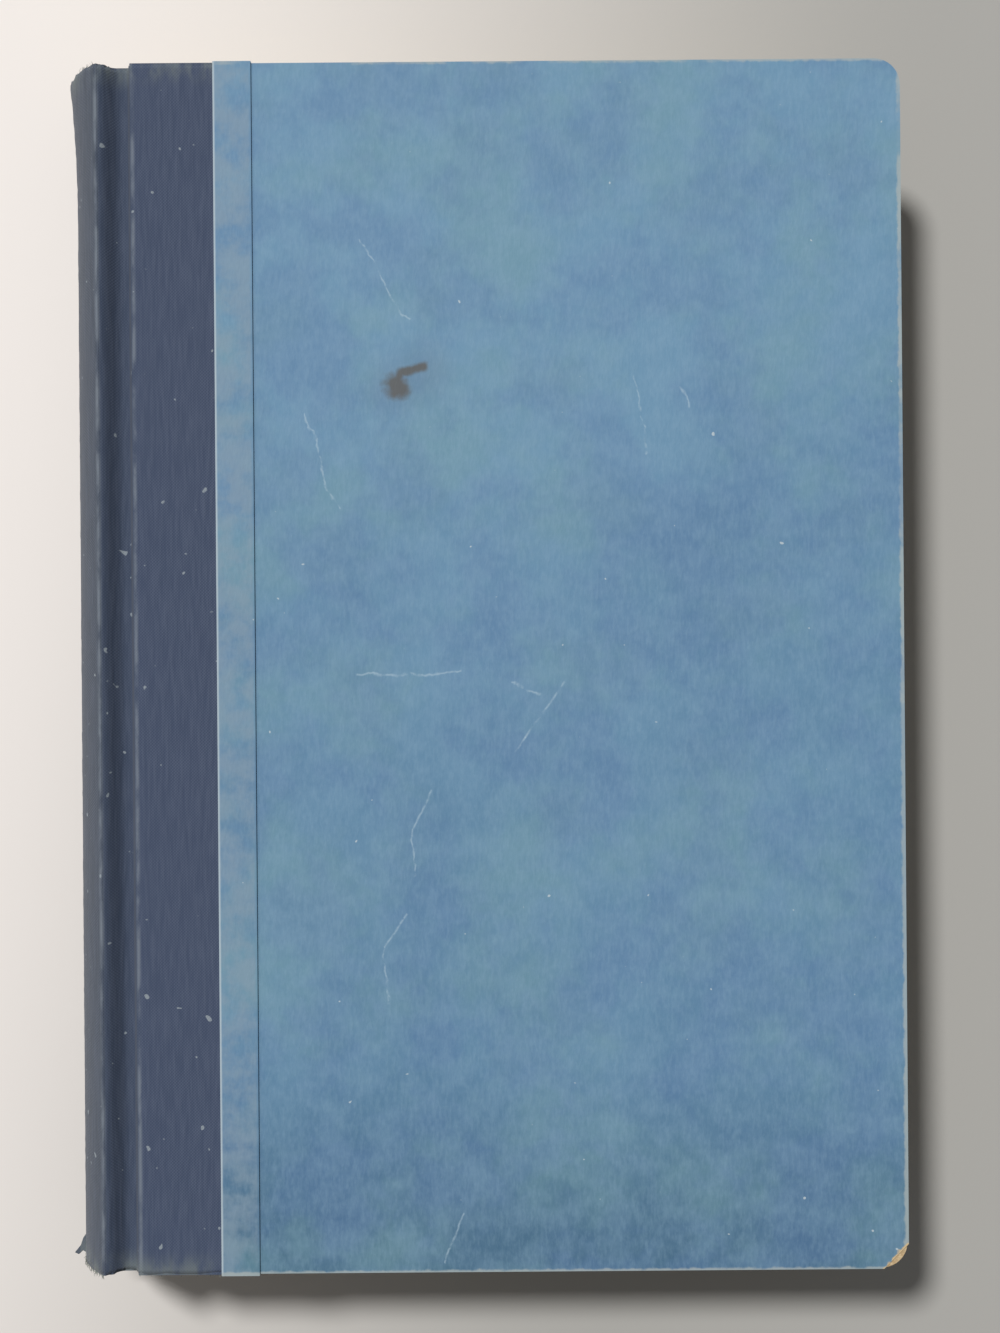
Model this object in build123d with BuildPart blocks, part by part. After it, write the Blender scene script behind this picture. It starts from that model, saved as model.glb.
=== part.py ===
from build123d import *

import os
from math import asin, degrees, radians, sqrt, tan

# A quarter-bound hardback book, lying shut on its back cover.
#
# A rounded and backed text block hangs in its case by its endpapers and a gauze mull. The case is two
# boards and a card spine strip, joined by one cloth over the spine and both joints, with paper sides
# that overlap the cloth. Each cover hinges on the cloth at the bottom of its joint groove. The cloth,
# the mull and each endpaper are single sheets in the real book: here they are parted along the hinge
# lines, so that each cover carries its own share of them.
#
# Millimetres. The origin is under the middle of the book, on the surface it lies on: +X points to the
# fore edge, +Y to the head and +Z out of the front cover.

# Text block
PAGE_HEIGHT = 209.6
PAGE_WIDTH = 139.5  # from the tip of the shoulder to the fore edge
BLOCK_THICKNESS = 23.5
SPINE_ROUND = 5.6  # how far the spine swells beyond the shoulders
SHOULDER_HEIGHT = 2.0  # how far the backed shoulder stands above the pages
SHOULDER_RADIUS = 2.6  # hollow between the pages and the shoulder
FORE_EDGE_HOLLOW = 4.6
LEAF = 0.15  # endpaper
MULL = 0.3
MULL_INSET = 12.0  # bare spine above and below the mull, where the bands go
MULL_LAP = 25.0  # mull glued to each board
LINING = 0.2
LINING_INSET = 1.0
BAND_TAPE_HEIGHT = 9.0
BAND_BEAD_RADIUS = 0.8

# Case
SQUARE = 3.0  # how far the boards stand beyond the pages
BOARD_THICKNESS = 2.4
CORNER_RADIUS = 4.5  # fore-edge corners, rubbed round
JOINT_WIDTH = 5.5  # from the tip of the shoulder to the board
CLOTH = 0.3
CLOTH_LAP = 21.2  # cloth glued to each board
SIDE_PAPER = 0.2
PAPER_OVER_CLOTH = 6.6
TURN_IN = 15.0
INLAY = 0.4
HOLLOW_BACK = 0.1  # air between the block and the turned-in cloth
WORN_CORNER = 4.4  # legs of the triangle of paper lost at the front tail corner

# Fits
HINGE_PAST_FOOT = 0.1  # the hinge line lies this far along the flat pages
BAND_CLEAR_OF_TIP = 1.5  # degrees of spine left bare beside each shoulder tip

# Levels above the pages of the front half, from the middle of the block outwards
inner_layer = max(CLOTH, MULL, SIDE_PAPER)
page_level = BLOCK_THICKNESS / 2
board_in_level = page_level + 2 * LEAF + inner_layer
board_out_level = board_in_level + BOARD_THICKNESS
cloth_out_level = board_out_level + CLOTH
cover_out_level = cloth_out_level + SIDE_PAPER

mid_z = cover_out_level
page_z = mid_z + page_level
board_in_z = mid_z + board_in_level
board_out_z = mid_z + board_out_level
hinge_z = mid_z + cover_out_level
middle = Plane.XY.offset(mid_z)

# The spine is an arc through both shoulder tips; the layers over it are concentric
tip_level = page_level + SHOULDER_HEIGHT
spine_radius = (tip_level**2 + SPINE_ROUND**2) / (2 * SPINE_ROUND)
lining_inner = spine_radius + MULL
lining_outer = lining_inner + LINING
turn_in_inner = lining_outer + HOLLOW_BACK
inlay_inner = turn_in_inner + CLOTH
inlay_outer = inlay_inner + INLAY
cloth_outer = inlay_outer + CLOTH

# Stations along X
overall_width = cloth_outer - spine_radius + SPINE_ROUND + PAGE_WIDTH + SQUARE + SIDE_PAPER
spine_x = -overall_width / 2
spine_centre_x = spine_x + cloth_outer
tip_x = spine_centre_x - spine_radius + SPINE_ROUND
foot_x = tip_x + sqrt(2 * SHOULDER_RADIUS * SHOULDER_HEIGHT - SHOULDER_HEIGHT**2)
hinge_x = foot_x + HINGE_PAST_FOOT
board_x = tip_x + JOINT_WIDTH
page_edge_x = tip_x + PAGE_WIDTH
board_edge_x = page_edge_x + SQUARE
cloth_edge_x = board_x + CLOTH_LAP
paper_edge_x = cloth_edge_x - PAPER_OVER_CLOTH
mull_edge_x = board_x + MULL_LAP

# Half heights along Y
page_half = PAGE_HEIGHT / 2
board_half = page_half + SQUARE
window_half = board_half - TURN_IN
mull_half = page_half - MULL_INSET

# Angles of the spine arc, measured from its middle
tip_angle = degrees(asin(tip_level / spine_radius))
band_angle = tip_angle - BAND_CLEAR_OF_TIP
inlay_angle = degrees(asin(cloth_out_level / cloth_outer))


def block_outline(grow):
    """Section of the rounded and backed block, with `grow` of endpaper on its two faces."""
    fore_edge_radius = (page_level**2 + FORE_EDGE_HOLLOW**2) / (2 * FORE_EDGE_HOLLOW)
    flare_level = page_level + SHOULDER_RADIUS
    with BuildSketch() as outline:
        with Locations((spine_centre_x, mid_z)):
            Circle(spine_radius)
        with Locations((foot_x, mid_z)):
            Rectangle(foot_x - spine_x, 2 * flare_level, align=(Align.MAX, Align.CENTER), mode=Mode.INTERSECT)
        with Locations((foot_x, mid_z + flare_level), (foot_x, mid_z - flare_level)):
            Circle(SHOULDER_RADIUS - grow, mode=Mode.SUBTRACT)
        with Locations((foot_x, mid_z)):
            Rectangle(page_edge_x - foot_x, 2 * (page_level + grow), align=(Align.MIN, Align.CENTER))
        with Locations((page_edge_x - FORE_EDGE_HOLLOW + fore_edge_radius, mid_z)):
            Circle(fore_edge_radius, mode=Mode.SUBTRACT)
    return outline.sketch


def spine_sector(radius, half_angle):
    """Wedge of the disc that the spine arc belongs to."""
    reach = 2 * radius
    rise = reach * tan(radians(half_angle))
    with BuildSketch() as sector:
        with Locations((spine_centre_x, mid_z)):
            Circle(radius)
            Polygon((0, 0), (-reach, rise), (-reach, -rise), align=None, mode=Mode.INTERSECT)
    return sector.sketch


def half_plane(width, height, align, place):
    """Large rectangle that keeps one side of a section."""
    with BuildSketch() as side:
        with Locations(place):
            Rectangle(width, height, align=align)
    return side.sketch


bare_block = block_outline(0)
leafed_block = block_outline(LEAF)
folded_block = block_outline(2 * LEAF)
spine_side = half_plane(
    2 * cloth_outer, 4 * cloth_outer, (Align.MAX, Align.CENTER), (hinge_x, mid_z)
)
front_side = half_plane(
    2 * overall_width, 2 * overall_width, (Align.CENTER, Align.MIN), (0, mid_z)
)

# ---------------------------------------------------------------- text block
with BuildPart() as text_block:
    with BuildSketch(Plane.XZ):
        add(bare_block)
    extrude(amount=page_half, both=True)

# The endpaper's loose leaf. It is folded over the shoulder and comes back as far as the hinge line.
with BuildPart() as front_flyleaf:
    with BuildSketch(Plane.XZ):
        add(folded_block)
        add(spine_side, mode=Mode.INTERSECT)
        add(leafed_block)
        add(front_side, mode=Mode.INTERSECT)
        add(bare_block, mode=Mode.SUBTRACT)
    extrude(amount=page_half, both=True)

with BuildPart() as back_flyleaf:
    mirror(front_flyleaf.part, about=middle)

# Gauze glued round the spine and over both shoulders, down to the hinge lines
with BuildPart() as spine_mull:
    with BuildSketch(Plane.XZ):
        add(folded_block)
        offset(amount=MULL, kind=Kind.ARC)
        add(folded_block, mode=Mode.SUBTRACT)
        add(spine_side, mode=Mode.INTERSECT)
    extrude(amount=mull_half, both=True)

with BuildPart() as spine_lining:
    with BuildSketch(Plane.XZ):
        add(spine_sector(lining_outer, band_angle))
        add(spine_sector(lining_inner, tip_angle), mode=Mode.SUBTRACT)
    extrude(amount=page_half - LINING_INSET, both=True)

# Woven tape with a rolled bead, glued over each end of the block's spine
with BuildPart() as head_band:
    with BuildSketch(Plane.XZ.offset(-page_half - BAND_BEAD_RADIUS)):
        add(spine_sector(lining_inner, band_angle))
        add(spine_sector(spine_radius, tip_angle), mode=Mode.SUBTRACT)
    extrude(amount=BAND_TAPE_HEIGHT + BAND_BEAD_RADIUS)
    with BuildLine(Plane.XZ.offset(-page_half - BAND_BEAD_RADIUS)):
        bead_path = CenterArc(
            (spine_centre_x, mid_z), lining_inner - BAND_BEAD_RADIUS, 180 - band_angle, 2 * band_angle
        )
    with BuildSketch(Plane(bead_path @ 0, z_dir=bead_path % 0)):
        Circle(BAND_BEAD_RADIUS)
    sweep(path=bead_path)

with BuildPart() as tail_band:
    mirror(head_band.part, about=Plane.XZ)

# ---------------------------------------------------------------- case spine
with BuildSketch() as under_cloth:
    add(folded_block)
    offset(amount=inner_layer, kind=Kind.ARC)
    add(spine_sector(inlay_outer, inlay_angle))

with BuildSketch() as inlay_section:
    add(spine_sector(inlay_outer, inlay_angle))
    add(spine_sector(inlay_inner, inlay_angle), mode=Mode.SUBTRACT)

with BuildPart() as spine_inlay:
    with BuildSketch(Plane.XZ):
        add(inlay_section.sketch)
    extrude(amount=board_half, both=True)

# The cloth's outer layer, from one hinge line round the spine to the other
with BuildSketch() as cloth_section:
    add(under_cloth.sketch)
    offset(amount=CLOTH, kind=Kind.ARC)
    add(under_cloth.sketch, mode=Mode.SUBTRACT)
    add(spine_side, mode=Mode.INTERSECT)

# Where it is turned in at head and tail it lies inside the inlay and under itself
with BuildSketch() as turned_in_section:
    add(under_cloth.sketch)
    add(inlay_section.sketch, mode=Mode.SUBTRACT)
    add(spine_sector(turn_in_inner, band_angle), mode=Mode.SUBTRACT)
    add(folded_block, mode=Mode.SUBTRACT)
    add(spine_side, mode=Mode.INTERSECT)

with BuildPart() as spine_cloth:
    with BuildSketch(Plane.XZ):
        add(cloth_section.sketch)
    extrude(amount=board_half + CLOTH, both=True)
    for end in (1, -1):
        with BuildSketch(Plane.XZ.offset(end * window_half)):
            add(turned_in_section.sketch)
        extrude(amount=end * (TURN_IN + CLOTH))
        with BuildSketch(Plane.XZ.offset(end * board_half)):
            add(inlay_section.sketch)
        extrude(amount=end * CLOTH)

# ---------------------------------------------------------------- front cover
with BuildPart() as front_board:
    with BuildSketch(Plane.XY.offset(board_in_z)):
        with Locations((board_x, 0)):
            Rectangle(board_edge_x - board_x, 2 * board_half, align=(Align.MIN, Align.CENTER))
    extrude(amount=BOARD_THICKNESS)
    fillet(edges().filter_by(Axis.Z).group_by(Axis.X)[-1], radius=CORNER_RADIUS)

# Cloth from the hinge line up the board's edge and over it, turned in at head and tail
with BuildPart() as front_cloth_lap:
    with BuildSketch(Plane.XZ):
        with Locations((board_x - CLOTH, board_in_z - CLOTH)):
            Rectangle(CLOTH_LAP + CLOTH, BOARD_THICKNESS + 2 * CLOTH, align=Align.MIN)
        with Locations((hinge_x, board_in_z - CLOTH)):
            Rectangle(board_x - CLOTH - hinge_x, 2 * CLOTH, align=Align.MIN)
    extrude(amount=board_half + CLOTH, both=True)
    fillet(edges().filter_by(Axis.Y).group_by(Axis.Z)[-1].sort_by(Axis.X)[0], radius=CLOTH)
    add(front_board.part, mode=Mode.SUBTRACT)
    with BuildSketch(Plane.XY.offset(board_in_z)):
        with Locations((hinge_x, 0)):
            Rectangle(cloth_edge_x - hinge_x, 2 * window_half, align=(Align.MIN, Align.CENTER))
    extrude(amount=-CLOTH, mode=Mode.SUBTRACT)

with BuildPart() as front_mull_flap:
    with BuildSketch(Plane.XY.offset(board_in_z)):
        with Locations((hinge_x, 0)):
            Rectangle(mull_edge_x - hinge_x, 2 * mull_half, align=(Align.MIN, Align.CENTER))
    extrude(amount=-MULL)

# Paper side: over the edge of the cloth, down a step to the board, round it and turned in
with BuildPart() as whole_side_paper:
    with BuildSketch(Plane.XY.offset(board_in_z - SIDE_PAPER)):
        with Locations((cloth_edge_x, 0)):
            Rectangle(
                board_edge_x + SIDE_PAPER - cloth_edge_x,
                2 * (board_half + SIDE_PAPER),
                align=(Align.MIN, Align.CENTER),
            )
    extrude(amount=BOARD_THICKNESS + 2 * SIDE_PAPER)
    fillet(edges().filter_by(Axis.Z).group_by(Axis.X)[-1], radius=CORNER_RADIUS + SIDE_PAPER)
    with BuildSketch(Plane.XY.offset(board_in_z - CLOTH)):
        with Locations((paper_edge_x, 0)):
            Rectangle(
                PAPER_OVER_CLOTH + SIDE_PAPER,
                2 * (board_half + CLOTH + SIDE_PAPER),
                align=(Align.MIN, Align.CENTER),
            )
    extrude(amount=BOARD_THICKNESS + 2 * CLOTH + SIDE_PAPER)
    with BuildSketch(Plane.XY.offset(board_in_z - CLOTH)):
        with Locations((cloth_edge_x, 0)):
            Rectangle(2 * CLOTH_LAP, 2 * (board_half + CLOTH), align=(Align.MAX, Align.CENTER))
    extrude(amount=BOARD_THICKNESS + 2 * CLOTH, mode=Mode.SUBTRACT)
    add(front_board.part, mode=Mode.SUBTRACT)
    with BuildSketch(Plane.XY.offset(board_in_z)):
        with Locations((cloth_edge_x, 0)):
            Rectangle(
                board_edge_x - TURN_IN - cloth_edge_x, 2 * window_half, align=(Align.MIN, Align.CENTER)
            )
    extrude(amount=-max(CLOTH, SIDE_PAPER), mode=Mode.SUBTRACT)

# The front one has lost its tail corner to wear, which bares the board
with BuildPart() as front_side_paper:
    add(whole_side_paper.part)
    with BuildSketch(Plane.XY.offset(board_in_z)):
        with Locations((board_edge_x + SIDE_PAPER, -board_half - SIDE_PAPER)):
            Polygon((0, 0), (-WORN_CORNER, 0), (0, WORN_CORNER), align=None)
    extrude(amount=BOARD_THICKNESS + SIDE_PAPER, mode=Mode.SUBTRACT)

# Endpaper glued to the board: it follows the turn-ins and the mull, and steps down between them
with BuildPart() as front_pastedown:
    with BuildSketch(Plane.XY.offset(page_z + LEAF)):
        with Locations((hinge_x, 0)):
            Rectangle(page_edge_x - hinge_x, PAGE_HEIGHT, align=(Align.MIN, Align.CENTER))
    extrude(amount=board_in_z - page_z - LEAF)
    add(front_cloth_lap.part, mode=Mode.SUBTRACT)
    add(front_mull_flap.part, mode=Mode.SUBTRACT)
    add(whole_side_paper.part, mode=Mode.SUBTRACT)
    with BuildSketch(Plane.XY.offset(page_z + LEAF)):
        with Locations((mull_edge_x + LEAF, 0)):
            Rectangle(
                board_edge_x - TURN_IN - mull_edge_x - 2 * LEAF,
                2 * (window_half - LEAF),
                align=(Align.MIN, Align.CENTER),
            )
    extrude(amount=inner_layer, mode=Mode.SUBTRACT)

# ---------------------------------------------------------------- back cover, the front's mirror image
with BuildPart() as back_board:
    mirror(front_board.part, about=middle)

with BuildPart() as back_cloth_lap:
    mirror(front_cloth_lap.part, about=middle)

with BuildPart() as back_mull_flap:
    mirror(front_mull_flap.part, about=middle)

with BuildPart() as back_side_paper:
    mirror(whole_side_paper.part, about=middle)

with BuildPart() as back_pastedown:
    mirror(front_pastedown.part, about=middle)

# ---------------------------------------------------------------- export
pieces = {
    "text_block": text_block,
    "front_flyleaf": front_flyleaf,
    "back_flyleaf": back_flyleaf,
    "spine_mull": spine_mull,
    "spine_lining": spine_lining,
    "head_band": head_band,
    "tail_band": tail_band,
    "spine_inlay": spine_inlay,
    "spine_cloth": spine_cloth,
    "front_board": front_board,
    "front_cloth_lap": front_cloth_lap,
    "front_mull_flap": front_mull_flap,
    "front_side_paper": front_side_paper,
    "front_pastedown": front_pastedown,
    "back_board": back_board,
    "back_cloth_lap": back_cloth_lap,
    "back_mull_flap": back_mull_flap,
    "back_side_paper": back_side_paper,
    "back_pastedown": back_pastedown,
}

os.makedirs("parts", exist_ok=True)
for name, piece in pieces.items():
    piece.part.label = name
    export_step(piece.part, f"parts/{name}.step")

print(f"hinges at x {hinge_x:.3f}, z {hinge_z:.3f} and 0; over all {overall_width:.2f} wide")
print(f"rest face at x {(paper_edge_x + cloth_edge_x) / 2:.3f}, z 0")
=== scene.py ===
import random
from math import cos, pi, radians, sin

import bpy
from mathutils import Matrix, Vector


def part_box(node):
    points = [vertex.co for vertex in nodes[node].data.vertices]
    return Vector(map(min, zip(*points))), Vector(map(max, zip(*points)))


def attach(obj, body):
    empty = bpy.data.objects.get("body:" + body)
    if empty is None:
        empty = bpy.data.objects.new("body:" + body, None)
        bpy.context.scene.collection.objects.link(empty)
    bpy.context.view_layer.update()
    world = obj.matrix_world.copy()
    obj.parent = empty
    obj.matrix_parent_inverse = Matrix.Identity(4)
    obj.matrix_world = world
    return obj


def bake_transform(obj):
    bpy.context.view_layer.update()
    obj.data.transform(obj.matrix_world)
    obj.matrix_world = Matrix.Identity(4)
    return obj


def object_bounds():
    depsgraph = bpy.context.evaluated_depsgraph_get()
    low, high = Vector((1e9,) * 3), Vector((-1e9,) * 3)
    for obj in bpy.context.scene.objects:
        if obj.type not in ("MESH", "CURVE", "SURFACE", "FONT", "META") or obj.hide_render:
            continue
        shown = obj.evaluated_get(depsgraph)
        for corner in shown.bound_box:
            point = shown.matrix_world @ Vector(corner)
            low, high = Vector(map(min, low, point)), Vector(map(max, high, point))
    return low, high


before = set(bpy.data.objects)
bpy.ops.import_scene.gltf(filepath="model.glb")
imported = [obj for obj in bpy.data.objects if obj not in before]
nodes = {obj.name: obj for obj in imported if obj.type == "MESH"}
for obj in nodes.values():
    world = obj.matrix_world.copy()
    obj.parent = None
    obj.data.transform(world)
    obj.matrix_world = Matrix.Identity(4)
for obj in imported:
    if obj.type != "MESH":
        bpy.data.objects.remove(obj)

cad_low, cad_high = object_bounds()
MM = 0.001

# ------------------------------------------------------------------ blue side papers
# The sides are a matt blue machine-made paper, pasted over the boards and lapped over the edge of the
# cloth. Handling has rubbed the colour off the edges and over the buried cloth edge, and scratched the
# front; damp has left one small brown stain. The back is finished with plain wear of the same kind.


def linear(hex_colour):
    """sRGB hex to the linear RGBA that sockets take."""
    channels = [int(hex_colour[i : i + 2], 16) / 255 for i in (1, 3, 5)]
    return [c / 12.92 if c <= 0.04045 else ((c + 0.055) / 1.055) ** 2.4 for c in channels] + [1.0]


def add(tree, kind, links=(), **settings):
    """Adds a node: settings are its properties, links pairs each input with a socket or a value."""
    new = tree.nodes.new("ShaderNode" + kind)
    for name, value in settings.items():
        setattr(new, name, value)
    for name, value in dict(links).items():
        if isinstance(value, bpy.types.NodeSocket):
            tree.links.new(value, new.inputs[name])
        else:
            new.inputs[name].default_value = value
    return new


def maths(tree, operation, a, b=0.0, clamp=False):
    """The output of a Math node on one or two sockets or numbers."""
    return add(tree, "Math", {0: a, 1: b}, operation=operation, use_clamp=clamp).outputs[0]


def fade(tree, value, full, none):
    """1 where value is at `full`, falling smoothly to 0 at `none`."""
    links = {"Value": value, "From Min": none, "From Max": full}
    return add(tree, "MapRange", links, interpolation_type="SMOOTHSTEP").outputs["Result"]


def blend_colour(tree, amount, under, over):
    """`under` where amount is 0, `over` where it is 1."""
    mixed = add(tree, "Mix", {0: amount, 6: under, 7: over}, data_type="RGBA")
    return mixed.outputs[2]


def tint(tree, colour, mask, weight, hex_colour):
    """colour, with hex_colour over it at up to `weight` where mask is 1."""
    return blend_colour(tree, maths(tree, "MULTIPLY", mask, weight), colour, linear(hex_colour))


def noise(tree, size_mm, stretch=(1, 1, 1), detail=4.0):
    """Noise whose blotches are about size_mm across, centred on a half."""
    place = add(tree, "TexCoord").outputs["Object"]
    scaled = add(tree, "Mapping", {"Vector": place, "Scale": [s / (size_mm * MM) for s in stretch]})
    links = {"Vector": scaled.outputs[0], "Scale": 1.0, "Detail": detail, "Roughness": 0.6}
    return add(tree, "TexNoise", links).outputs[0]


def new_material(name, roughness):
    """A material with its node tree, shader, Object coordinates and those coordinates' axes."""
    material = bpy.data.materials.new(name)
    material.use_nodes = True
    tree = material.node_tree
    shader = tree.nodes["Principled BSDF"]
    shader.inputs["Roughness"].default_value = roughness
    shader.inputs["IOR"].default_value = 1.45
    place = add(tree, "TexCoord").outputs["Object"]
    axes = add(tree, "SeparateXYZ", {0: place}).outputs
    return material, tree, shader, place, axes


def finish_material(tree, shader, colour, height, depth_mm):
    """Joins colour and a bump of depth_mm to the shader."""
    tree.links.new(colour, shader.inputs["Base Color"])
    bump = add(tree, "Bump", {"Height": height, "Strength": 1.0, "Distance": depth_mm * MM})
    tree.links.new(bump.outputs[0], shader.inputs["Normal"])


def near_segment(tree, place, start, end):
    """Distance in plan, in metres, from the stroke between two points given in millimetres."""
    a = [start[0] * MM, start[1] * MM, 0.0]
    along = [(end[0] - start[0]) * MM, (end[1] - start[1]) * MM, 0.0]
    length_squared = along[0] ** 2 + along[1] ** 2
    from_a = add(tree, "VectorMath", {0: place, 1: a}, operation="SUBTRACT").outputs[0]
    from_a = add(tree, "VectorMath", {0: from_a, 1: (1, 1, 0)}, operation="MULTIPLY").outputs[0]
    dot = add(tree, "VectorMath", {0: from_a, 1: along}, operation="DOT_PRODUCT").outputs["Value"]
    share = maths(tree, "DIVIDE", dot, length_squared, clamp=True)
    foot = add(tree, "VectorMath", {0: along, "Scale": share}, operation="SCALE").outputs[0]
    away = add(tree, "VectorMath", {0: from_a, 1: foot}, operation="SUBTRACT").outputs[0]
    return add(tree, "VectorMath", {0: away}, operation="LENGTH").outputs["Value"]


def paper_edge_wear(tree, axes, corner_low, corner_high, width_mm):
    """Rubbed band, uneven in width, inside the three outer edges of a board."""
    ragged = maths(tree, "MULTIPLY", noise(tree, 2.5, detail=6.0), 1.6 * width_mm * MM)
    from_fore = maths(tree, "SUBTRACT", corner_high[0], axes["X"])
    from_end = maths(tree, "SUBTRACT", corner_high[1], maths(tree, "ABSOLUTE", axes["Y"]))
    nearest = maths(tree, "MINIMUM", from_fore, from_end)
    band = fade(tree, maths(tree, "SUBTRACT", nearest, ragged), -0.3 * width_mm * MM, 0.3 * width_mm * MM)
    # Worse towards the tail, where the book has stood on its shelf
    standing = fade(tree, axes["Y"], corner_low[1] + 8 * MM, corner_high[1] + 30 * MM)
    patchy = fade(tree, noise(tree, 11.0), 0.6, 0.4)
    return maths(tree, "MULTIPLY", band, maths(tree, "MAXIMUM", standing, patchy))


# Places on the front, in millimetres from the middle of the book
SCRATCHES = [
    ((-23.2, -1.6), (-4.2, -0.7)),
    ((4.8, -16.0), (7.6, -12.3)),
    ((7.6, -12.3), (14.2, -2.9)),
    ((4.8, -3.0), (10.1, -4.8)),
    ((-9.5, -21.9), (-12.7, -28.7)),
    ((-12.7, -28.7), (-12.3, -36.9)),
    ((-14.1, -44.0), (-17.9, -49.6)),
    ((-17.9, -49.6), (-17.5, -59.9)),
    ((27.2, 51.7), (29.2, 42.9)),
    ((29.2, 42.9), (29.2, 37.8)),
    ((35.4, 49.6), (36.8, 46.0)),
    ((-4.7, -97.9), (-7.7, -106.1)),
    ((-22.0, 76.0), (-13.0, 62.0)),
    ((-32.0, 45.0), (-26.0, 28.0)),
]
STAIN_CENTRE = (-15.4, 50.4)
STAIN_HOOK = ((-14.5, 52.6), (-10.4, 53.6))
HALO_END = (-10.5, 53.0)
CORNER = 4.7  # radius of the fore-edge corners
DIAGONAL = 0.7071  # share of each axis along a corner's diagonal
OVERLAP = 6.6 * MM  # paper lapped over the cloth


def scratched(tree, place, colour):
    """Fine pale scratches, a little wavy and broken."""
    drift = maths(tree, "MULTIPLY", maths(tree, "SUBTRACT", noise(tree, 9.0), 0.5), 4.0 * MM)
    wavy = add(tree, "VectorMath", {0: place, 1: drift}, operation="ADD").outputs[0]
    for start, end in SCRATCHES:
        stroke = fade(tree, near_segment(tree, wavy, start, end), 0.0, 0.3 * MM)
        patchy = maths(tree, "MULTIPLY", stroke, fade(tree, noise(tree, 2.0), 0.6, 0.35))
        colour = tint(tree, colour, patchy, 0.55, "#A9C0CE")
    return colour


def stained(tree, place, colour):
    """A brown blot with a hooked tail, in a faint dull halo."""
    halo = fade(tree, near_segment(tree, place, STAIN_CENTRE, HALO_END), 1.0 * MM, 7.5 * MM)
    colour = tint(tree, colour, halo, 0.3, "#5F7390")
    blob_end = (STAIN_CENTRE[0] + 0.4, STAIN_CENTRE[1] - 0.6)
    blob = near_segment(tree, place, STAIN_CENTRE, blob_end)
    ragged = maths(tree, "MULTIPLY", maths(tree, "SUBTRACT", noise(tree, 1.6), 0.5), 2.4 * MM)
    brown = fade(tree, maths(tree, "ADD", blob, ragged), 0.9 * MM, 3.0 * MM)
    hook = near_segment(tree, place, *STAIN_HOOK)
    hook = maths(tree, "ADD", hook, maths(tree, "MULTIPLY", ragged, 0.4))
    hook = fade(tree, hook, 0.3 * MM, 1.3 * MM)
    stem = fade(tree, near_segment(tree, place, STAIN_CENTRE, STAIN_HOOK[0]), 0.2 * MM, 1.3 * MM)
    brown = maths(tree, "MAXIMUM", maths(tree, "MAXIMUM", hook, stem), brown)
    return tint(tree, colour, brown, 0.8, "#5C5448")


def bare_corner(tree, axes, low, high, colour):
    """The tail corner, rubbed through to a crescent of bare board with a torn rim."""
    across = maths(tree, "SUBTRACT", axes["X"], high[0] - CORNER * MM)
    along = maths(tree, "SUBTRACT", low[1] + CORNER * MM, axes["Y"])
    outward = maths(tree, "MULTIPLY", maths(tree, "ADD", across, along), DIAGONAL)
    torn = maths(tree, "MULTIPLY", maths(tree, "SUBTRACT", noise(tree, 1.5), 0.5), 1.6 * MM)
    crescent = fade(tree, maths(tree, "ADD", outward, torn), 3.3 * MM, 2.9 * MM)
    return blend_colour(tree, crescent, colour, linear("#CDB48A"))


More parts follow.
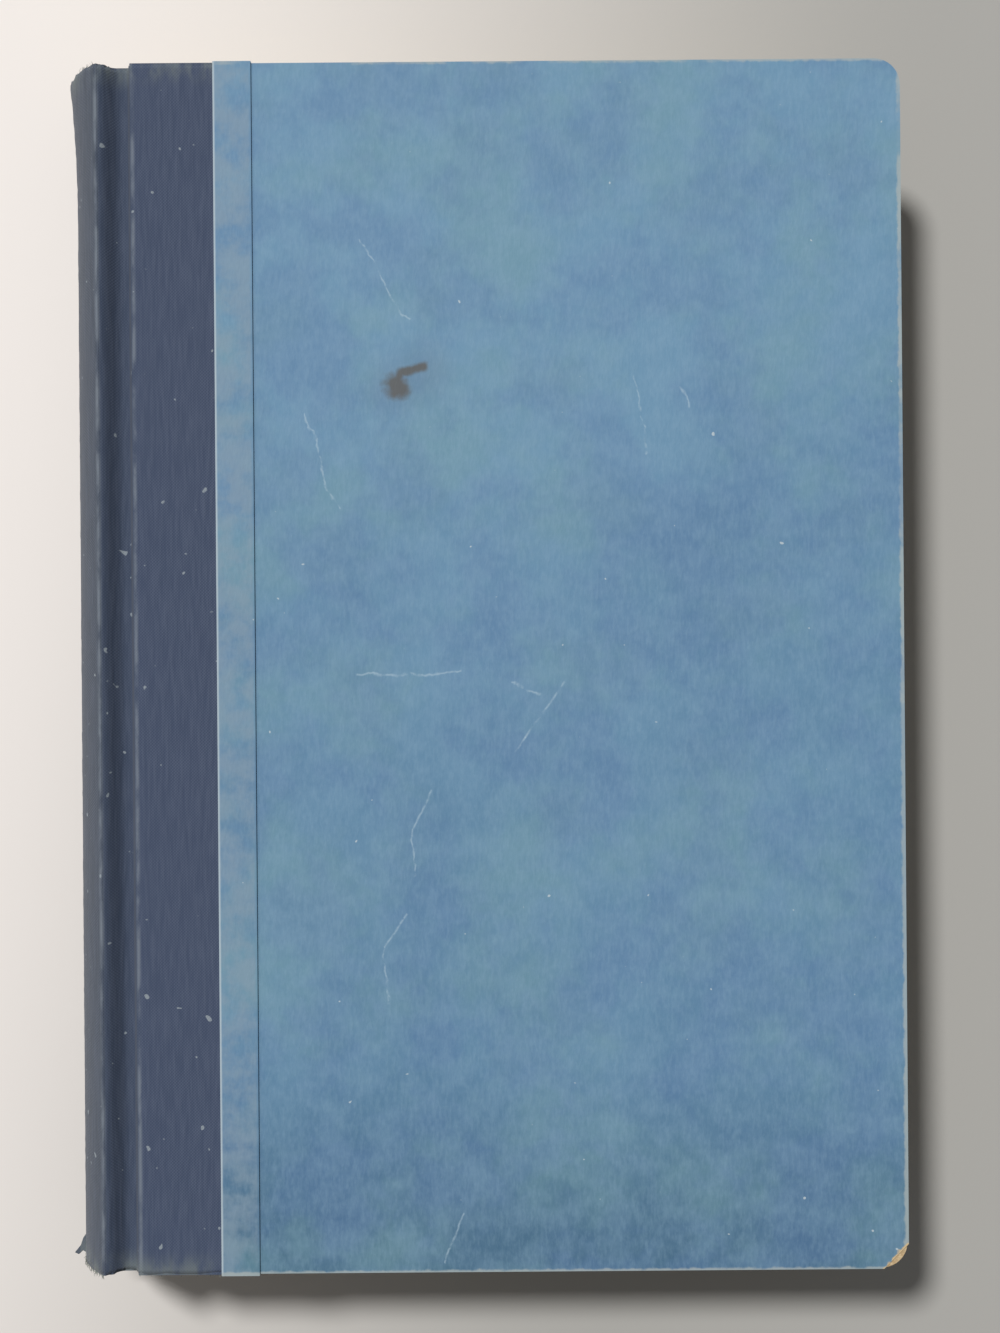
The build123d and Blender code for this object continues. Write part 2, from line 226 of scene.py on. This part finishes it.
def side_paper_material(name, node, worn):
    """Material of a side paper: `worn` adds the marks of the front."""
    material, tree, shader, place, axes = new_material(name, 0.72)
    low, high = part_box(node)
    shader.inputs["Specular IOR Level"].default_value = 0.35
    # Paler towards the head and the spine, deeper towards the tail and the fore edge: partly faded paper,
    # partly painted sheen and fall-off of the light from the upper left
    towards_head = maths(tree, "MULTIPLY", axes["Y"], 2.6)
    slope = maths(tree, "SUBTRACT", towards_head, maths(tree, "MULTIPLY", axes["X"], 1.6))
    fading_and_painted_sheen = fade(tree, maths(tree, "ADD", slope, noise(tree, 60.0)), 0.75, 0.15)
    colour = blend_colour(tree, fading_and_painted_sheen, linear("#587E9C"), linear("#6B92AE"))
    # Darker still towards the tail: partly deeper colour, partly painted fall-off of the light
    tail_end_and_painted_falloff = fade(tree, axes["Y"], low[1], low[1] + 42 * MM)
    colour = tint(tree, colour, tail_end_and_painted_falloff, 0.8, "#41647D")
    greener = fade(tree, noise(tree, 24.0), 0.64, 0.42)
    colour = tint(tree, colour, greener, 0.4, "#71989E")
    bluer = fade(tree, noise(tree, 17.0), 0.38, 0.58)
    colour = tint(tree, colour, bluer, 0.35, "#54739F")
    cloudy = fade(tree, noise(tree, 5.0, detail=8.0), 0.66, 0.36)
    colour = tint(tree, colour, cloudy, 0.22, "#82A2BA")
    fibres = noise(tree, 0.9, stretch=(1.6, 0.5, 1.0), detail=6.0)
    colour = tint(tree, colour, fade(tree, fibres, 0.75, 0.35), 0.17, "#93B2C6")
    # Rubbed grey over the buried cloth, brightest and then darkest where the cloth ends: the dark line is
    # painted shade along the small step there
    past_lap = maths(tree, "SUBTRACT", axes["X"], low[0] + OVERLAP)
    strip = fade(tree, past_lap, -0.4 * MM, 0.2 * MM)
    rubbed = maths(tree, "MULTIPLY", strip, fade(tree, noise(tree, 5.0, detail=6.0), 0.62, 0.3))
    colour = tint(tree, colour, rubbed, 0.5, "#8799A6")
    # Painted shade: a dark line along the step where the cloth ends under the paper
    step = fade(tree, maths(tree, "ABSOLUTE", maths(tree, "SUBTRACT", past_lap, 0.35 * MM)), 0.0, 0.5 * MM)
    colour = tint(tree, colour, step, 0.18, "#3F5F78")
    cut_edge = fade(tree, maths(tree, "SUBTRACT", axes["X"], low[0]), 0.15 * MM, 0.45 * MM)
    colour = tint(tree, colour, cut_edge, 0.75, "#B9C6CC")
    if worn:
        colour = scratched(tree, place, colour)
        colour = stained(tree, place, colour)
    specks = fade(tree, noise(tree, 1.5, detail=1.0), 0.83, 0.79)
    colour = tint(tree, colour, specks, 0.7, "#C5CFD2")
    wear = paper_edge_wear(tree, axes, low, high, 0.8)
    colour = tint(tree, colour, wear, 0.7, "#A9B1AE")
    if worn:
        colour = bare_corner(tree, axes, low, high, colour)
    waves = maths(tree, "MULTIPLY", noise(tree, 14.0), 2.5)
    finish_material(tree, shader, colour, maths(tree, "ADD", waves, fibres), 0.06)
    return material


def dress(node, material):
    """Gives a CAD node its material."""
    mesh = nodes[node].data
    mesh.materials.clear()
    mesh.materials.append(material)


dress("front_side_paper", side_paper_material("blue_side_paper_front", "front_side_paper", True))
dress("back_side_paper", side_paper_material("blue_side_paper_back", "back_side_paper", False))

# ------------------------------------------------------------------ spine cloth
# One piece of starch-filled navy book cloth covers the spine and laps onto both boards. Each half of it
# is a bent sheet over the CAD cloth: round the spine, over the shoulder ridge, down into the joint groove
# and up over the board's edge.

CLOTH_THREAD = 0.55  # mm; real threads are about 0.3, too fine to show at this distance


def cloth_material(name):
    """Filled book cloth: plain weave, paler where it is rubbed on the spine, ridge and board edge."""
    material, tree, shader, place, axes = new_material(name, 0.82)
    shader.inputs["Specular IOR Level"].default_value = 0.3
    shader.inputs["Sheen Weight"].default_value = 0.12
    lap = linear("#3F4A61")
    # The groove's colour is darker than the lap's: painted shade in the joint groove
    groove = linear("#3A4559")
    spine = linear("#474E59")
    ridge_x = cad_low[0] + 6.4 * MM
    board_x = cad_low[0] + 12.6 * MM
    on_spine = fade(tree, axes["X"], ridge_x - 0.6 * MM, ridge_x + 0.8 * MM)
    on_board = fade(tree, axes["X"], board_x + 1.0 * MM, board_x - 0.8 * MM)
    colour = blend_colour(tree, on_spine, groove, spine)
    colour = blend_colour(tree, on_board, colour, lap)
    # Rubbed pale, in patches, along the ridge and the board's inner edge
    patchy = fade(tree, noise(tree, 3.0, stretch=(1, 0.35, 1), detail=6.0), 0.62, 0.36)
    for centre, half_width, weight in ((ridge_x - 0.1 * MM, 0.7, 0.55), (board_x + 0.3 * MM, 0.6, 0.5)):
        distance = maths(tree, "ABSOLUTE", maths(tree, "SUBTRACT", axes["X"], centre))
        line = maths(tree, "MULTIPLY", fade(tree, distance, 0.0, half_width * MM), patchy)
        colour = tint(tree, colour, line, weight, "#8B939B")
    ends = fade(tree, maths(tree, "ABSOLUTE", axes["Y"]), cad_high[1] - 0.5 * MM, cad_high[1] - 5.0 * MM)
    ends = maths(tree, "MULTIPLY", maths(tree, "MULTIPLY", ends, patchy), 0.6)
    colour = blend_colour(tree, ends, colour, linear("#757D78"))
    specks = fade(tree, noise(tree, 1.8, detail=1.0), 0.775, 0.745)
    colour = tint(tree, colour, specks, 0.65, "#A2ABAF")
    bands = []
    for direction in ("X", "Y"):
        phase = maths(tree, "MULTIPLY", axes[direction], 2 * pi / (CLOTH_THREAD * MM))
        bands.append(maths(tree, "SINE", phase))
    weave = maths(tree, "MULTIPLY", bands[0], bands[1])
    streaks = noise(tree, 0.8, stretch=(1.5, 0.12, 1.0), detail=3.0)
    thread_relief = maths(tree, "ADD", maths(tree, "MULTIPLY", weave, 0.25), streaks)
    colour = tint(tree, colour, fade(tree, thread_relief, 0.8, 0.3), 0.3, "#6A7386")
    finish_material(tree, shader, colour, thread_relief, 0.09)
    return material


book_cloth = cloth_material("navy_book_cloth")
for node in ("spine_cloth", "front_cloth_lap", "back_cloth_lap"):
    dress(node, book_cloth)

# All in millimetres, with levels counted from the middle of the book's thickness
SPINE_RADIUS = 21.281  # outside of the cloth, round the spine
ARC_HALF_ANGLE = 45.0
ARC_STEPS = 18
SLOPE_STEPS = 12  # on each side of the groove
FLAT_STEP = 3.0
GROOVE_RADIUS = 1.7
PROUD = 0.03  # how far the sheet stands off the CAD cloth
middle_z = (cad_low[2] + cad_high[2]) / 2 / MM
spine_centre = cad_low[0] / MM + SPINE_RADIUS
groove_centre = (cad_low[0] / MM + 9.73, 14.35)
groove_floor = groove_centre[1] - GROOVE_RADIUS
lap_level = 15.05
board_edge = groove_centre[0] + 2.62
cloth_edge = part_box("front_cloth_lap")[1][0] / MM


def cloth_profile():
    """Section of the front half, from mid-spine to the cloth's edge: (x, height above mid-thickness)."""
    points = []
    for i in range(ARC_STEPS + 1):
        angle = radians(180 - i * ARC_HALF_ANGLE / ARC_STEPS)
        points.append((spine_centre + SPINE_RADIUS * cos(angle), SPINE_RADIUS * sin(angle)))
    x, level = points[-1]
    floor = groove_floor + 0.02
    down = (x + 0.35, groove_centre[0] + 0.8, level, floor)
    up = (board_edge - 0.9, board_edge + 0.3, floor, lap_level)
    for first, last, start, end in (down, up):
        for i in range(SLOPE_STEPS + 1):
            eased = (1 - cos(pi * i / SLOPE_STEPS)) / 2
            points.append((first + (last - first) * i / SLOPE_STEPS, start + (end - start) * eased))
    flat_start = board_edge + 2
    flat_count = int((cloth_edge - flat_start) / FLAT_STEP) + 1
    points += [(flat_start + i * FLAT_STEP, lap_level) for i in range(flat_count)]
    return points


ROWS = 220
HALF_HEIGHT = cad_high[1] / MM - 0.2
HEAD_FLARE = 1.6  # how far the head cap splays out
FLARE_LENGTH = 26
SPINE_COLUMNS = 22  # columns of the sheet that the flare and the ripples move
draw = random.Random(7)
ripple = [draw.uniform(-0.06, 0.06) for _ in range(ROWS + 1)]
# How far each column falls short of the cloth's end, at the tail and at the head
fray = {end: [draw.uniform(0.0, 0.7) for _ in range(80)] for end in (-1, 1)}


def new_piece(name, vertices, faces, material):
    """A mesh object made from its vertices and faces, selected alone and active."""
    mesh = bpy.data.meshes.new(name)
    mesh.from_pydata(vertices, [], faces)
    mesh.materials.append(material)
    piece = bpy.data.objects.new(name, mesh)
    bpy.context.scene.collection.objects.link(piece)
    bpy.ops.object.select_all(action="DESELECT")
    piece.select_set(True)
    bpy.context.view_layer.objects.active = piece
    return piece


def cloth_sheet(name, side):
    """Half of the cloth, on the front for side 1 and on the back for side -1, as a sheet with thickness."""
    profile = cloth_profile()
    vertices = []
    for row in range(ROWS + 1):
        y = -HALF_HEIGHT + 2 * HALF_HEIGHT * row / ROWS
        near_head = max(0.0, (y - HALF_HEIGHT + FLARE_LENGTH) / FLARE_LENGTH)
        for column, (x, level) in enumerate(profile):
            on_spine = max(0.0, 1 - column / SPINE_COLUMNS)
            out = HEAD_FLARE * near_head**2 * on_spine + ripple[row] * on_spine
            end = 1 if y > 0 else -1
            short = fray[end][column] if row in (0, ROWS) else 0.0
            z = middle_z + side * (level + PROUD)
            vertices.append(((x - out) * MM, (y - end * short) * MM, z * MM))
    count = len(profile)
    faces = []
    for row in range(ROWS):
        for column in range(count - 1):
            a = row * count + column
            face = (a, a + 1, a + count + 1, a + count)
            faces.append(face if side > 0 else face[::-1])
    sheet = new_piece(name, vertices, faces, book_cloth)
    bpy.ops.object.shade_smooth_by_angle(angle=radians(50))
    solidify = sheet.modifiers.new("thickness", "SOLIDIFY")
    solidify.thickness = 0.06 * MM
    solidify.offset = -1
    bpy.ops.object.modifier_apply(modifier="thickness")
    return sheet


for side, cover in ((1, "front_cover"), (-1, "back_cover")):
    sheet = cloth_sheet(cover.split("_")[0] + "_half_of_cloth", side)
    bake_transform(sheet)

# ------------------------------------------------------------------ boards
# Millboard, pressed from waste paper: beige brown, with darker fibres. It shows only where a corner of
# the side paper has worn away, and there the layers are rubbed pale.

board_material, tree, shader, place, axes = new_material("beige_millboard", 0.9)
fibre = noise(tree, 0.7, detail=6.0)
layers = noise(tree, 0.5, stretch=(0.2, 0.2, 1.6))
colour = blend_colour(tree, fade(tree, fibre, 0.7, 0.3), linear("#B99E76"), linear("#D6C09A"))
colour = tint(tree, colour, fade(tree, layers, 0.65, 0.45), 0.35, "#8F7654")
finish_material(tree, shader, colour, maths(tree, "ADD", fibre, layers), 0.15)
for node in ("front_board", "back_board", "spine_inlay"):
    dress(node, board_material)

# ------------------------------------------------------------------ text block
# Book paper, toned by age. The cut edges show the leaves as fine uneven lines, with dusty patches. The
# endpapers are a smoother cream stock, foxed in soft blotches.

pages, tree, shader, place, axes = new_material("toned_book_paper", 0.88)
leaf_lines = noise(tree, 0.35, stretch=(0.015, 0.015, 1.0), detail=3.0)
colour = blend_colour(tree, fade(tree, leaf_lines, 0.66, 0.36), linear("#A8946C"), linear("#DCCCA8"))
dust = fade(tree, noise(tree, 12.0), 0.7, 0.4)
colour = tint(tree, colour, dust, 0.25, "#9B8763")
finish_material(tree, shader, colour, leaf_lines, 0.3)
dress("text_block", pages)

endpaper, tree, shader, place, axes = new_material("cream_endpaper", 0.85)
tone = fade(tree, noise(tree, 20.0), 0.7, 0.35)
colour = blend_colour(tree, tone, linear("#DDD0B2"), linear("#CDBB95"))
edge_tone = paper_edge_wear(tree, axes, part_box("text_block")[0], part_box("text_block")[1], 5.0)
colour = tint(tree, colour, edge_tone, 0.4, "#B49B6E")
finish_material(tree, shader, colour, noise(tree, 0.6), 0.05)
for node in ("front_flyleaf", "back_flyleaf", "front_pastedown", "back_pastedown"):
    dress(node, endpaper)

# ------------------------------------------------------------------ spine linings and bands
# Starched gauze and brown paper are glued over the sewn backs of the sections, and a striped woven band
# finishes each end of the block.

gauze, tree, shader, place, axes = new_material("starched_gauze", 0.9)
mesh_x = maths(tree, "SINE", maths(tree, "MULTIPLY", axes["Z"], 2 * pi / (0.9 * MM)))
mesh_y = maths(tree, "SINE", maths(tree, "MULTIPLY", axes["Y"], 2 * pi / (0.9 * MM)))
grid = maths(tree, "MAXIMUM", mesh_x, mesh_y)
colour = blend_colour(tree, fade(tree, grid, 0.9, 0.2), linear("#8F8364"), linear("#D2C8A8"))
finish_material(tree, shader, colour, grid, 0.1)
for node in ("spine_mull", "front_mull_flap", "back_mull_flap"):
    dress(node, gauze)

kraft, tree, shader, place, axes = new_material("brown_lining_paper", 0.85)
colour = blend_colour(tree, fade(tree, noise(tree, 1.2), 0.7, 0.3), linear("#8A6A45"), linear("#A98557"))
finish_material(tree, shader, colour, noise(tree, 0.8), 0.05)
dress("spine_lining", kraft)

band, tree, shader, place, axes = new_material("striped_band_tape", 0.8)
stripe = maths(tree, "SINE", maths(tree, "MULTIPLY", axes["Z"], 2 * pi / (1.8 * MM)))
colour = blend_colour(tree, fade(tree, stripe, 0.15, -0.15), linear("#34506B"), linear("#D8D2C2"))
finish_material(tree, shader, colour, noise(tree, 0.4), 0.08)
for node in ("head_band", "tail_band"):
    dress(node, band)

# ------------------------------------------------------------------ frayed threads
# Where the cloth has worn at the ends of the spine and at the tail of the front board, its threads have
# come loose in short grey-green ends. Each is a tapering three-sided tube.

thread_material, tree, shader, place, axes = new_material("loose_weft", 0.9)
colour = blend_colour(tree, fade(tree, noise(tree, 1.0), 0.65, 0.35), linear("#6E7369"), linear("#A5ABA4"))
finish_material(tree, shader, colour, noise(tree, 0.3), 0.02)


def strand(vertices, faces, root, tip, radius):
    """A bent tapering tube from root to tip, in millimetres."""
    sag = (draw.uniform(-0.3, 0.3), draw.uniform(-0.2, 0.2), draw.uniform(-0.2, 0.25))
    first = len(vertices)
    steps = 4
    sides = 3
    for step in range(steps + 1):
        share = step / steps
        bow = sin(pi * share)
        centre = [root[i] + (tip[i] - root[i]) * share + sag[i] * bow for i in range(3)]
        wide = radius * (1 - 0.75 * share)
        for corner in range(sides):
            angle = 2 * pi * corner / sides
            x = centre[0] + wide * cos(angle)
            z = centre[2] + wide * sin(angle)
            vertices.append((x * MM, centre[1] * MM, z * MM))
    for step in range(steps):
        for corner in range(sides):
            a = first + step * sides + corner
            b = first + step * sides + (corner + 1) % sides
            faces.append((a, b, b + sides, a + sides))


def threads(name, roots, body):
    """One piece of loose threads. Each root is x, y, z and the reach of its thread, in millimetres."""
    vertices = []
    faces = []
    for x, y, z, reach in roots:
        end = 1 if y > 0 else -1
        tip_x = x + draw.uniform(-0.5, 0.5)
        tip_y = y + end * reach * draw.uniform(0.4, 1.0)
        tip_z = z - draw.uniform(0, 0.5)
        strand(vertices, faces, (x, y, z), (tip_x, tip_y, tip_z), draw.uniform(0.05, 0.09))
    piece = new_piece(name, vertices, faces, thread_material)
    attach(piece, body)


def spine_roots(count, end):
    """Roots along the end of the spine cloth, over its front half: end is 1 at the head, -1 at the tail."""
    roots = []
    for _ in range(count):
        angle = radians(180 - draw.uniform(2, 45))
        x = spine_centre + SPINE_RADIUS * cos(angle)
        roots.append((x, end * HALF_HEIGHT, middle_z + SPINE_RADIUS * sin(angle) - 0.1, 1.0))
    return roots


threads("tail_cap_fray", spine_roots(90, -1), "book_block")
threads("head_cap_fray", spine_roots(40, 1), "book_block")
lap_roots = []
for _ in range(60):
    x = draw.uniform(board_edge, cloth_edge - 5)
    lap_roots.append((x, -HALF_HEIGHT, middle_z + lap_level - draw.uniform(0, 2.4), 0.7))
threads("tail_lap_fray", lap_roots, "front_cover")

# ------------------------------------------------------------------ torn tongue
# The cloth has torn at the foot of the spine, and a small tongue of it stands out past the tail. It is
# the same cloth, with its thickness.

TEAR = [(0.2, 3.6), (-0.5, 2.6), (-1.0, 1.2), (-2.3, -0.4), (-1.5, -0.6), (-0.6, 0.3), (0.2, 0.0), (0.6, 1.8)]
TEAR_LEVEL = 3.0  # above the middle of the spine
tear_corners = []
for x, y in TEAR:
    z = middle_z + TEAR_LEVEL + 0.5 * x
    tear_corners.append(((cad_low[0] / MM + x) * MM, (y - HALF_HEIGHT) * MM, z * MM))
tear = new_piece("torn_tongue", tear_corners, [tuple(range(len(TEAR)))], book_cloth)
tear.modifiers.new("thickness", "SOLIDIFY").thickness = 0.3 * MM
bpy.ops.object.modifier_apply(modifier="thickness")
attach(tear, "book_block")

# ------------------------------------------------------------------ floor, light and camera
# A pale table top with painted light and reflection from the window in its colour, bright on the window side
# and darker away from it, and one soft light from the head and spine side.
# The camera looks straight down.

floor_material, tree, shader, place, axes = new_material("pale_table", 0.7)
# Painted light: the window's pool of light and its reflection on the table, fading towards the fore edge and
# the tail
painted_window_light_slope = maths(tree, "SUBTRACT", axes["X"], maths(tree, "MULTIPLY", axes["Y"], 0.25))
floor_colour_with_painted_light = blend_colour(tree, fade(tree, painted_window_light_slope, -0.13, 0.06), linear("#A9A7A2"), linear("#F3ECE6"))
tree.links.new(floor_colour_with_painted_light, shader.inputs["Base Color"])
bpy.ops.object.select_all(action="DESELECT")
bpy.ops.mesh.primitive_plane_add(size=6.0, location=(0, 0, 0))
floor = bpy.context.object
floor.name = "table"
floor.data.materials.append(floor_material)

sun_data = bpy.data.lights.new("window", "SUN")
sun_data.energy = 3.1
sun_data.angle = radians(9)
sun = bpy.data.objects.new("window", sun_data)
sun.rotation_euler = (radians(-28.8), radians(-21.8), 0)
bpy.context.scene.collection.objects.link(sun)
world = bpy.data.worlds.new("room")
world.use_nodes = True
world.node_tree.nodes["Background"].inputs["Color"].default_value = linear("#F4F5F7")
world.node_tree.nodes["Background"].inputs["Strength"].default_value = 0.2
bpy.context.scene.world = world
bpy.context.scene.view_settings.view_transform = "Standard"

CAMERA_HEIGHT = 297 * MM  # above the front cover
camera_data = bpy.data.cameras.new("camera")
camera_data.sensor_fit = "VERTICAL"
camera_data.sensor_height = 36
camera_data.lens = 45
camera = bpy.data.objects.new("camera", camera_data)
camera.location = (2.8 * MM, 0, cad_high[2] + CAMERA_HEIGHT)
camera.rotation_euler = (0, 0, radians(-0.45))
bpy.context.scene.collection.objects.link(camera)
bpy.context.scene.camera = camera
